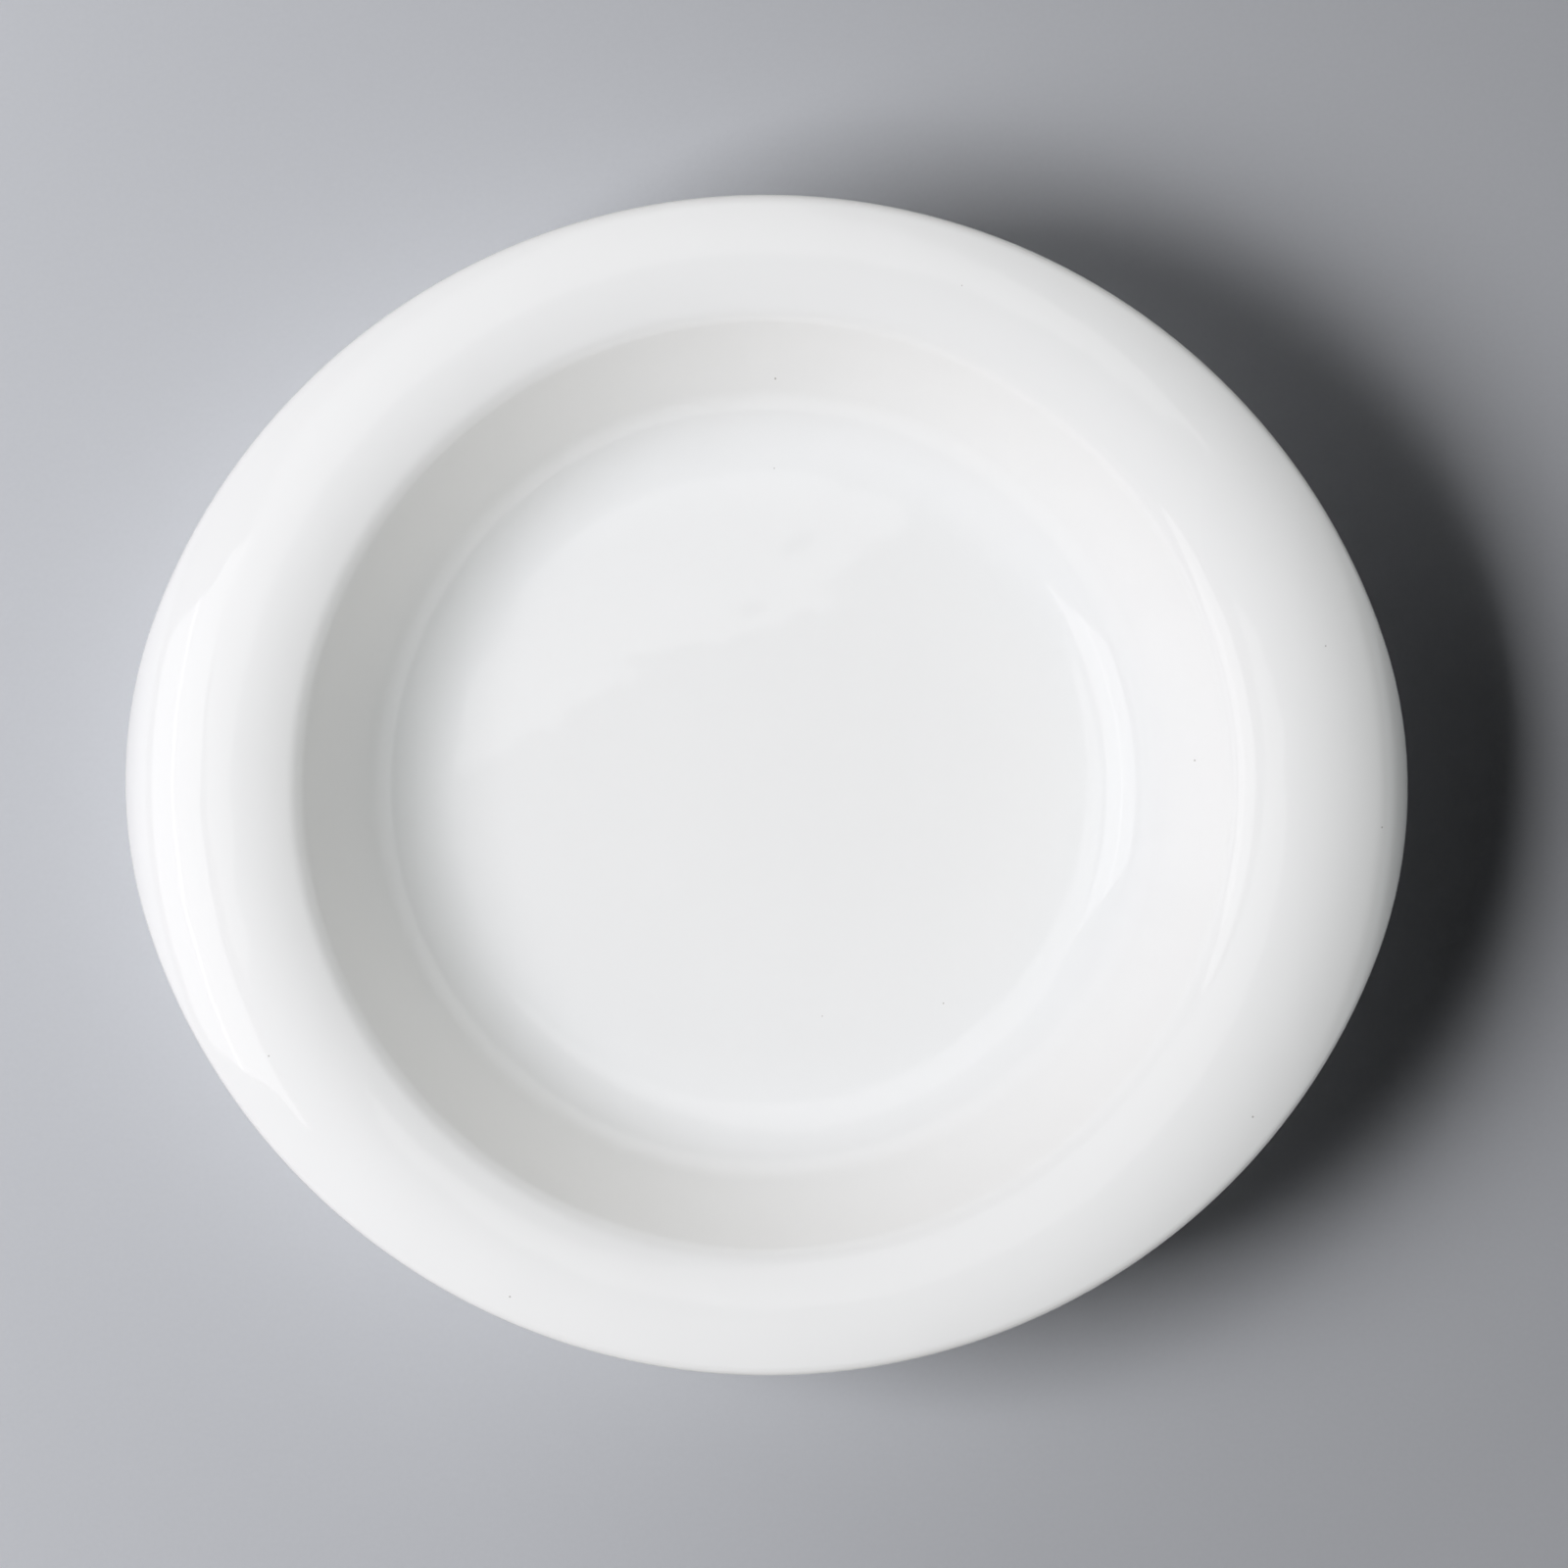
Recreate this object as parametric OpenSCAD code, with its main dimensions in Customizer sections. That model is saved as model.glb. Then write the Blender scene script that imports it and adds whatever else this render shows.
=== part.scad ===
// Oval deep plate: a round well inside a domed rim whose two ends droop, on a bare foot ring.
// The origin is on the table under the middle of the plate, with the long axis along X.

/* [Well] */
// Diameter of the flat floor
floor_d = 139; // [110:1:160]
// Run of the wall, from the edge of the floor out to the mouth of the well
wall_run = 34.5; // [30:0.5:44]
// Depth of the floor under the crest of the rim
well_depth = 38; // [30:0.5:46]
// Radius of the hollow between the floor and the wall
well_fillet_r = 21; // [16:0.5:26]

/* [Rim] */
// Width of the brow, from the mouth of the well up to the crest
brow_w = 12.5; // [10:0.5:18]
// Slope of the brow where it turns into the wall
brow_tilt = 22; // [14:1:28]
// Width of the rim outside the crest, at the two long sides
side_rim_w = 11.5; // [8:0.5:18]
// Width of the rim outside the crest, at the two ends
end_rim_w = 23.5; // [18:0.5:30]
// Width of the lip that rolls down at the two ends
lip_w = 6; // [4:0.5:8]
// Slope of the rim where the lip begins
lip_tilt = 26; // [18:1:32]
// Slope of the lip at its edge, at the two drooping ends
end_tilt = 65; // [50:1:75]
// How much less the radius of the two end arcs is than half the width
end_arc_less = 29; // [20:1:45]

/* [Wall] */
// Thickness of the glazed wall, whose edge is a full round
wall_t = 5.5; // [4:0.1:7]
// Radius of the hollow under the mouth of the well
under_corner_r = 2; // [1:0.5:6]

/* [Foot] */
// Height of the foot ring, from the table up to the recess inside it
foot_h = 4.5; // [3.5:0.1:8]
// How far the foot ring stands outside the flat floor
foot_step = 6; // [3:0.5:9]
// Width of the foot ring
foot_w = 6; // [4.5:0.1:9]
// Radius of the hollows where the foot ring meets the plate
foot_fillet_r = 2; // [1:0.1:3]
// Radius of the bare edges that stand on the table
foot_round_r = 1; // [0.6:0.1:1.4]

/* [Glaze] */
// Thickness of the glaze
glaze_t = 0.3; // [0.2:0.05:0.5]
// Height of the bare band between the foot's rounded edge and the glaze line
bare_h = 0.4; // [0.2:0.1:0.8]

/* [Hidden] */

// Counts of facets round the plate and along each stretch of its section
ribs_n = 64;
fillet_n = 4;
corner_n = 3;
brow_n = 3;
dome_n = 5;
edge_n = 5;
foot_n = 3;
under_n = 3;
$fn = ribs_n;

// How far the cut for the recess runs past the table
cut_over = 1;
// The widest hollow that a wall or a foot of a given size can hold
fillet_limit_share = 0.8;
foot_fillet_limit_share = 0.5;

// Heights, up from the table
floor_z = foot_h + wall_t;
crest_z = floor_z + well_depth;
glaze_line_z = foot_round_r + bare_h;

// Radii and half sizes, out from the middle
floor_r = floor_d / 2;
mouth_r = floor_r + wall_run;
crest_r = mouth_r + brow_w;
half_length = crest_r + end_rim_w;
half_width = crest_r + side_rim_w;
foot_r = floor_r + foot_step;
recess_r = foot_r - foot_w;

// The rim is a dome: the brow falls inwards from the crest, and the rim falls outwards to a rolled lip
edge_r = wall_t / 2;
brow_r = brow_w / sin(brow_tilt);
dome_reach = max(end_rim_w, side_rim_w) - edge_r - lip_w;
dome_mid_r = dome_reach / sin(lip_tilt);
dome_r = dome_mid_r + edge_r;
lip_mid_r = lip_w / (sin(end_tilt) - sin(lip_tilt));
lip_r = lip_mid_r + edge_r;
brow_c = [crest_r, crest_z - brow_r];
dome_c = [crest_r, crest_z - dome_r];
lip_c = dome_c + (dome_mid_r - lip_mid_r) * [sin(lip_tilt), cos(lip_tilt)];

// The wall is the straight line that touches the hollow over the floor and the corner at the mouth
fillet_r = min(well_fillet_r, fillet_limit_share * wall_run);
fillet_c = [floor_r, floor_z + fillet_r];
corner_r = wall_t + under_corner_r;
corner_c = brow_c + (brow_r - corner_r) * [-sin(brow_tilt), cos(brow_tilt)];
wall_span = corner_c - fillet_c;
wall_slope = atan2(wall_span.y, wall_span.x) + asin((fillet_r + corner_r) / norm(wall_span));

// The hollow outside the foot ring touches its upright side and the underside of the well
foot_fillet = min(foot_fillet_r, foot_fillet_limit_share * foot_h);
outer_r = fillet_r + wall_t;
foot_reach = foot_step + foot_fillet;
foot_lean = asin(foot_reach / (outer_r + foot_fillet));
foot_fillet_c = fillet_c + (outer_r + foot_fillet) * [sin(foot_lean), -cos(foot_lean)];

// The outline is an oval of four arcs, tight at the ends and flat along the sides
end_arc_r = half_width - end_arc_less;
end_arc_x = half_length - end_arc_r;
side_arc_y = (pow(end_arc_x, 2) - pow(end_arc_less, 2)) / (2 * end_arc_less);
side_arc_r = half_width + side_arc_y;
arc_join = atan2(end_arc_r * side_arc_y, end_arc_x * (norm([end_arc_x, side_arc_y]) + end_arc_r));

// Distance from the middle to the outline in the direction a
function outline(a) =
    let (across = abs(cos(a)), along = abs(sin(a)))
    atan2(along, across) < arc_join
        ? end_arc_x * across + sqrt(pow(end_arc_r, 2) - pow(end_arc_x * along, 2))
        : sqrt(pow(side_arc_r, 2) - pow(side_arc_y * across, 2)) - side_arc_y * along;

// Slope of the rim at its edge in the direction a: the further out it reaches, the more it droops
function edge_lean(a) =
    let (reach = outline(a) - crest_r - edge_r)
    reach < dome_reach
        ? asin(reach / dome_mid_r)
        : asin(sin(lip_tilt) + (reach - dome_reach) / lip_mid_r);

// Centre and radius of the rim's surface where it has a given slope
function rim_c(lean) = lean < lip_tilt ? dome_c : lip_c;
function rim_r(lean) = lean < lip_tilt ? dome_r : lip_r;

// Stations of a section lie on arcs, each with its centre, its radius and the lean of the surface there.
// A radius below zero is a hollow arc, and the lean runs from straight up through outwards to straight down.
function arc(centre, radius, from, to, steps, first = 0) =
    [for (i = [first : steps]) [centre, radius, from + (to - from) * i / steps]];

// The point of a station, at a depth under the glazed surface
function spot(station, depth) =
    station[0] + (station[1] - depth) * [sin(station[2]), cos(station[2])];

// The glazed section, from the edge of the floor over the rim and its edge to the glaze line on the foot
function section(lean) = concat(
    arc(fillet_c, -fillet_r, 0, -wall_slope, fillet_n),
    arc(corner_c, corner_r, -wall_slope, -brow_tilt, corner_n),
    arc(brow_c, brow_r, -brow_tilt, 0, brow_n, 1),
    [for (i = [1 : dome_n]) let (l = lean * i / dome_n) [rim_c(l), rim_r(l), l]],
    arc(spot([rim_c(lean), rim_r(lean), lean], edge_r), edge_r, lean, lean + 180, edge_n, 1),
    [for (i = [1 : under_n]) let (l = lean - lean * i / under_n) [rim_c(l), wall_t - rim_r(l), l + 180]],
    arc(brow_c, wall_t - brow_r, 180, 180 - brow_tilt, under_n, 1),
    arc(corner_c, -under_corner_r, 180 - brow_tilt, 180 - wall_slope, 1, 1),
    arc(fillet_c, outer_r, 180 - wall_slope, 180 - foot_lean, under_n),
    arc(foot_fillet_c, -foot_fillet, 180 - foot_lean, 90, foot_n, 1),
    [[[foot_r, glaze_line_z], 0, 90]]
);

// The bare outer edge of the foot ring, as a section of the clay under the glaze
bare_edge = arc([foot_r - glaze_t - foot_round_r, foot_round_r], foot_round_r + glaze_t, 90, 180, foot_n);

// Rings of points round the plate, one ring for each station
function rings(depth, tail = []) =
    let (sections = [for (i = [0 : ribs_n - 1]) concat(section(edge_lean(360 * i / ribs_n)), tail)])
    [for (k = [0 : len(sections[0]) - 1]) [
        for (i = [0 : ribs_n - 1])
            let (p = spot(sections[i][k], depth), a = 360 * i / ribs_n)
            [p.x * cos(a), p.x * sin(a), p.y]
    ]];

function reversed(list) = [for (i = [1 : len(list)]) list[len(list) - i]];

// A closed skin over rings of points, from a start point on the axis to an end point on the axis.
// The first ring from which the rings run backwards splits its quads the other way, to lie on its twin.
module skin(start_z, loops, end_z, backwards_from) {
    last = len(loops) - 1;
    end = ribs_n * len(loops) + 1;
    function at(k, i) = 1 + k * ribs_n + i % ribs_n;
    polyhedron(
        points = concat([[0, 0, start_z]], [for (loop = loops) each loop], [[0, 0, end_z]]),
        faces = concat(
            [for (i = [0 : ribs_n - 1]) [0, at(0, i + 1), at(0, i)]],
            [for (k = [0 : last - 1], i = [0 : ribs_n - 1], half = [0, 1])
                let (a = at(k, i), b = at(k, i + 1), c = at(k + 1, i + 1), d = at(k + 1, i))
                k < backwards_from
                    ? (half == 0 ? [a, b, c] : [a, c, d])
                    : (half == 0 ? [a, b, d] : [b, c, d])],
            [for (i = [0 : ribs_n - 1]) [at(last, i), at(last, i + 1), end]]
        ),
        convexity = 10
    );
}

// The recess inside the foot ring, as a section from the middle out and down to the glaze line
function recess(depth) = concat(
    [[0, foot_h + depth]],
    [for (s = arc([recess_r - foot_fillet, foot_h - foot_fillet], foot_fillet + depth, 0, 90, foot_n))
        spot(s, 0)],
    [[recess_r + depth, glaze_line_z]]
);

// The recess in the clay, with the bare inner edge of the foot ring
module recess_cut() {
    bare_r = recess_r + glaze_t + foot_round_r;
    rotate_extrude()
        polygon(concat(
            recess(glaze_t),
            [for (s = arc([bare_r, foot_round_r], foot_round_r, 270, 180, foot_n)) spot(s, 0)],
            [[bare_r, -cut_over], [0, -cut_over]]
        ));
}

// The fired clay of the plate, with its foot ring
module porcelain_body() {
    loops = rings(glaze_t, bare_edge);
    color("#efebe2")
        difference() {
            skin(floor_z - glaze_t, loops, 0, len(loops));
            recess_cut();
        }
}

// The glaze over the eating face, the rim, its edge and the underside
module face_glaze() {
    outside = rings(0);
    color("#f6f5f1")
        skin(floor_z, concat(outside, reversed(rings(glaze_t))), floor_z - glaze_t, len(outside));
}

// The glaze in the recess, which the bare foot ring parts from the rest
module base_glaze() {
    color("#f4f3ef")
        rotate_extrude()
            polygon(concat(recess(glaze_t), reversed(recess(0))));
}

porcelain_body();
face_glaze();
base_glaze();
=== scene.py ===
import math

import bmesh
import bpy
from bpy.props import FloatProperty, FloatVectorProperty, IntProperty, PointerProperty
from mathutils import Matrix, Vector


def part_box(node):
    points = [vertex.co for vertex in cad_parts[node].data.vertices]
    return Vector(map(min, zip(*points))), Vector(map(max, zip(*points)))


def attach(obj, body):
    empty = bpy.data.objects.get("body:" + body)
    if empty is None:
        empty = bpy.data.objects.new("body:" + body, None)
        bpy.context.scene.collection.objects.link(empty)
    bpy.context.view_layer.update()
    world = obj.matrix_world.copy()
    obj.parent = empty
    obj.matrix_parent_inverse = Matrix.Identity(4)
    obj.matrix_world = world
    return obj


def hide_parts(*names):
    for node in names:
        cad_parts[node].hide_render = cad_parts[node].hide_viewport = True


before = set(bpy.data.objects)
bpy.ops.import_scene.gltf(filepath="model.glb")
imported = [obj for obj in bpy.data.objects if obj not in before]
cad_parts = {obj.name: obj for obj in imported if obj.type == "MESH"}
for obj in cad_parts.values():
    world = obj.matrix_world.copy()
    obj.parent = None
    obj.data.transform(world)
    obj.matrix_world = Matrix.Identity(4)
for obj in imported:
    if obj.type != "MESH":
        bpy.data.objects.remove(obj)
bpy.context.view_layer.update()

bl_info = {
    "name": "Oval Deep Plate",
    "version": (1, 0, 0),
    "blender": (4, 5, 0),
    "location": "3D View > Sidebar > Plate",
    "description": "Glazed porcelain deep plate with a domed oval rim, on a plain studio floor",
    "category": "Mesh",
}

FACE_LOW, FACE_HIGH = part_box("face_glaze")
BASE_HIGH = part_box("base_glaze")[1]
BODY_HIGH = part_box("porcelain_body")[1]
GLAZE_T = FACE_HIGH.z - BODY_HIGH.z

# Leans of a surface across the section, from straight up through outwards to straight down
UP = 0.0
OUTWARDS = math.pi / 2
DOWN = math.pi
INWARDS = 3 * math.pi / 2

# Facets along each stretch of the section
FLAT_STEPS = 12
HOLLOW_STEPS = 28
CORNER_STEPS = 16
BROW_STEPS = 14
RIM_STEPS = 32
EDGE_STEPS = 24
UNDER_STEPS = 18
SMALL_STEPS = 10
FOOT_STEPS = 8

# Longest straight facet, the least distance between two stations, and the least change of lean
LONGEST_RUN = 0.004
SAME_PLACE = 1e-7
SAME_LEAN = 1e-6
SHARP_ANGLE = math.radians(40)

# Glaze: how far it bends light, its roughness, the least pooling, and kiln specks as shares of a cell
GLAZE_IOR = 1.6
GLAZE_SMOOTHEST, GLAZE_ROUGHEST = 0.004, 0.016
POOL_LEAST = 0.6
SPECK_SMALL, SPECK_LARGE = 0.012, 0.024
SPECK_CORE = 0.55

# Bare clay: how much darker its toasted stains are, its sand and its roughness
CLAY_TOAST = (0.9, 0.84, 0.76)
SAND_SHARE = 0.35
SAND_HEIGHT = 0.00004
CLAY_SMOOTHEST, CLAY_ROUGHEST = 0.72, 0.9

# Paper floor: how much darker its tooth is, its roughness and its gloss
FLOOR_TOOTH = 0.96
FLOOR_ROUGHNESS = 0.85
FLOOR_GLOSS = 0.1

# Studio: how far the hot line stands in front of the softbox, and the camera's sensor in millimetres
LINE_GAP = 0.02
SENSOR_WIDTH = 36.0

# Node trees: the space between nodes, the Mix node's colour sockets, and a scale that drops the height
NODE_SPACING = 180
MIX_SHARE, MIX_FIRST, MIX_SECOND, MIX_RESULT = 0, 6, 7, 2
NO_HEIGHT = (1.0, 1.0, 0.0)


def length_prop(name, description, default):
    """A size in metres that a user can change."""
    return FloatProperty(
        name=name, description=description, default=default, min=0.0, precision=4, unit="LENGTH"
    )


def angle_prop(name, description, degrees):
    """An angle that a user can change, given in degrees."""
    return FloatProperty(name=name, description=description, default=math.radians(degrees), subtype="ANGLE")


def level_prop(name, description, default):
    """A brightness or a share that a user can change."""
    return FloatProperty(name=name, description=description, default=default, min=0.0, precision=3)


def colour_prop(name, description, default):
    """A linear colour that a user can change."""
    return FloatVectorProperty(
        name=name, description=description, default=default, size=3, min=0.0, max=1.0, subtype="COLOR"
    )


class PlateSizes(bpy.types.PropertyGroup):
    """Sizes of the plate. The overall sizes and the glaze come from the solids."""

    length: length_prop("Length", "Long axis of the oval rim", FACE_HIGH.x - FACE_LOW.x)
    width: length_prop("Width", "Short axis of the oval rim", FACE_HIGH.y - FACE_LOW.y)
    height: length_prop("Height", "Crest of the rim above the table", FACE_HIGH.z)
    end_arc_less: length_prop("End Arc Less", "How much tighter the end arcs are than half a width", 0.029)
    floor_d: length_prop("Floor", "Diameter of the flat floor of the well", 0.139)
    wall_run: length_prop("Wall Run", "From the edge of the floor out to the mouth of the well", 0.0345)
    well_fillet_r: length_prop("Well Hollow", "Radius of the hollow between floor and wall", 0.021)
    brow_w: length_prop("Brow", "From the mouth of the well up to the crest", 0.0125)
    brow_tilt: angle_prop("Brow Slope", "Slope of the brow where it turns into the wall", 22)
    lip_w: length_prop("Lip", "Width of the lip that rolls down at the two ends", 0.006)
    lip_tilt: angle_prop("Lip Slope", "Slope of the rim where the lip begins", 26)
    end_tilt: angle_prop("End Slope", "Slope of the lip at its edge, at the two ends", 65)
    wall_t: length_prop("Wall", "Thickness of the glazed wall", 0.0055)
    under_corner_r: length_prop("Under Corner", "Radius of the hollow under the mouth of the well", 0.002)
    foot_h: length_prop("Foot Height", "From the table up to the recess", BASE_HIGH.z - GLAZE_T)
    foot_step: length_prop("Foot Step", "How far the foot ring stands outside the floor", 0.006)
    recess_r: length_prop("Recess", "Radius of the recess inside the foot ring", BASE_HIGH.x - GLAZE_T)
    foot_fillet_r: length_prop("Foot Hollow", "Radius of the hollows beside the foot ring", 0.002)
    foot_round_r: length_prop("Foot Edge", "Radius of the bare edges of the foot ring", 0.001)
    glaze_t: length_prop("Glaze", "Thickness of the glaze", GLAZE_T)
    glaze_line: length_prop("Glaze Line", "Where the glaze ends above the table", FACE_LOW.z)
    ribs: IntProperty(name="Ribs", description="Facets round the plate", default=200, min=24)


class PlateFinish(bpy.types.PropertyGroup):
    """Colours and surface of the glaze and of the bare clay."""

    glaze_colour: colour_prop("Glaze", "White of the glazed porcelain", (0.905, 0.9, 0.88))
    pool_colour: colour_prop("Pooled Glaze", "White where the glaze pools", (0.897, 0.897, 0.882))
    speck_colour: colour_prop("Specks", "Kiln specks under the glaze", (0.55, 0.53, 0.5))
    clay_colour: colour_prop("Clay", "Bare fired clay of the foot ring", (0.74, 0.69, 0.6))
    wave_height: length_prop("Waves", "Height of the slow waves in the glaze", 0.00025)
    ripple_height: length_prop("Ripples", "Height of the fine ripples in the glaze", 4e-06)
    face_pool_w: length_prop("Face Pool", "Reach of the pooled glaze in the hollow of the well", 0.022)
    base_pool_w: length_prop("Base Pool", "Reach of the pooled glaze round the recess", 0.006)
    face_specks: level_prop("Face Specks", "Share of places with a kiln speck on the face", 0.025)
    base_specks: level_prop("Base Specks", "Share of places with a kiln speck in the recess", 0.12)


class PlateStudio(bpy.types.PropertyGroup):
    """Floor, lights and camera."""

    floor_colour: colour_prop("Floor", "Pale floor under the plate", (0.875, 0.893, 0.922))
    floor_size: length_prop("Floor Size", "Side of the square floor", 6.0)
    key_turn: angle_prop("Key Direction", "Direction of the key light round the plate", 186)
    key_tilt: angle_prop("Key Tilt", "Angle of the key light from straight above", 40)
    key_distance: length_prop("Key Distance", "From the plate to the key light", 1.6)
    key_size: length_prop("Key Size", "Side of the square key light", 0.8)
    key_radiance: level_prop("Key Level", "Brightness of the key light on the plate", 7.1)
    key_colour: colour_prop("Key Colour", "Colour of the key light", (0.92, 0.915, 0.99))
    box_turn: angle_prop("Softbox Direction", "Direction of the mirrored softbox round the plate", 186)
    box_tilt: angle_prop("Softbox Tilt", "Angle of the mirrored softbox from straight above", 48.5)
    box_distance: length_prop("Softbox Distance", "From the plate to the mirrored softbox", 1.26)
    box_width: length_prop("Softbox Width", "Width of the mirrored softbox", 0.8)
    box_height: length_prop("Softbox Height", "Height of the mirrored softbox", 0.89)
    box_colour: colour_prop("Softbox Colour", "Colour of softbox and ceiling panel", (1.0, 0.98, 0.985))
    box_radiance: level_prop("Softbox Level", "Brightness of the softbox in the glaze", 0.88)
    line_height: length_prop("Line Height", "Height of the hot line across the softbox", 0.035)
    line_radiance: level_prop("Line Level", "Brightness of the hot line in the glaze", 1.15)
    floor_turn: angle_prop("Floor Light Direction", "Direction of the floor's light round the plate", 189.9)
    floor_tilt: angle_prop("Floor Light Tilt", "Angle of the floor's light from straight above", 47.5)
    floor_distance: length_prop("Floor Light Distance", "From the plate to the floor's light", 1.46)
    floor_panel: length_prop("Floor Light Size", "Side of the floor's square light", 0.77)
    floor_radiance: level_prop("Floor Light Level", "Brightness of the floor's light", 6.5)
    floor_tint: colour_prop("Floor Light Colour", "Colour of the floor's two lights", (0.96, 0.965, 1.0))
    low_turn: angle_prop("Low Light Direction", "Direction of the floor's low light round the plate", 142)
    low_tilt: angle_prop("Low Light Tilt", "Angle of the floor's low light from straight above", 75)
    low_distance: length_prop("Low Light Distance", "From the plate to the floor's low light", 0.875)
    low_panel: length_prop("Low Light Size", "Side of the floor's square low light", 0.45)
    low_radiance: level_prop("Low Light Level", "Brightness of the floor's low light", 2.1)
    fill_colour: colour_prop("Fill Colour", "Colour of the fill over the plate", (0.94, 0.985, 1.0))
    fill_radiance: level_prop("Fill Level", "Brightness of the fill over the plate", 1.05)
    fill_size: length_prop("Fill Size", "Side of the square fill panel", 1.6)
    fill_height: length_prop("Fill Height", "Height of the fill panel", 1.2)
    side_colour: colour_prop("Side Fill Colour", "Colour of the two side fills", (1.0, 0.955, 0.9))
    side_radiance: level_prop("Side Fill Level", "Brightness of the two fills beside the plate", 2.35)
    side_turn: angle_prop("Side Fill Direction", "Direction of the two side fills round the plate", 95)
    side_tilt: angle_prop("Side Fill Tilt", "Angle of the two side fills from straight above", 68)
    ceiling_radiance: level_prop("Ceiling Level", "Brightness of the ceiling panel in reflections", 0.5)
    ceiling_size: length_prop("Ceiling Size", "Side of the square ceiling panel", 1.6)
    ceiling_height: length_prop("Ceiling Height", "Height of the ceiling panel", 2.2)
    ceiling_gap: length_prop("Ceiling Gap", "From over the middle of the plate to the ceiling panel", 0.105)
    ceiling_turn: angle_prop("Ceiling Direction", "Direction in which the ceiling panel lies", 120)
    room_level: level_prop("Room Level", "Brightness of the room all round", 0.008)
    backdrop_level: level_prop("Backdrop Level", "Brightness of the backdrop round the room", 0.6)
    backdrop_colour: colour_prop("Backdrop Colour", "Colour of the room and backdrop", (0.93, 0.955, 1.0))
    backdrop_low: angle_prop("Backdrop Fade", "Height over the horizon where it starts to fade", 8)
    backdrop_high: angle_prop("Backdrop Top", "Height over the horizon where it ends", 15)
    fade_start: length_prop("Fade Start", "From the plate to where the floor starts to fade", 0.26)
    fade_end: length_prop("Fade End", "From the plate to where only the backdrop shows", 0.95)
    camera_distance: length_prop("Camera Distance", "From the crest of the rim up to the camera", 1.25)
    camera_x: length_prop("Camera X", "Camera's place along the plate", 0.0038)
    camera_y: length_prop("Camera Y", "Camera's place across the plate", 0.0003)
    camera_roll: angle_prop("Camera Roll", "Turn of the camera about its own axis", 1.15)
    frame_width: length_prop("Frame Width", "Width of the picture at the crest of the rim", 0.33886)


def facing(lean):
    """Unit vector across the section for a lean from straight up."""
    return Vector((math.sin(lean), math.cos(lean)))


def arc(centre, radius, start, end, steps):
    """Stations along an arc, which is hollow where its radius is below zero."""
    return [(centre, radius, start + (end - start) * i / steps) for i in range(steps + 1)]


def straight(first, last, steps):
    """Stations along a straight line between two stations of one lean."""
    return [(spot(first).lerp(spot(last), i / steps), 0.0, first[2]) for i in range(steps + 1)]


def spot(station, depth=0.0):
    """Point of a station at a depth under the glazed surface."""
    centre, radius, lean = station
    return centre + (radius - depth) * facing(lean)


def joined(stretches):
    """One list of stations, with straight runs filled in and no point given twice."""
    section = []
    for stretch in stretches:
        for station in stretch:
            if section:
                gap = (spot(station) - spot(section[-1])).length
                if gap < SAME_PLACE:
                    continue
                if gap > LONGEST_RUN and abs(station[2] - section[-1][2]) < SAME_LEAN:
                    section += straight(section[-1], station, math.ceil(gap / LONGEST_RUN))[1:-1]
            section.append(station)
    return section


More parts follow.
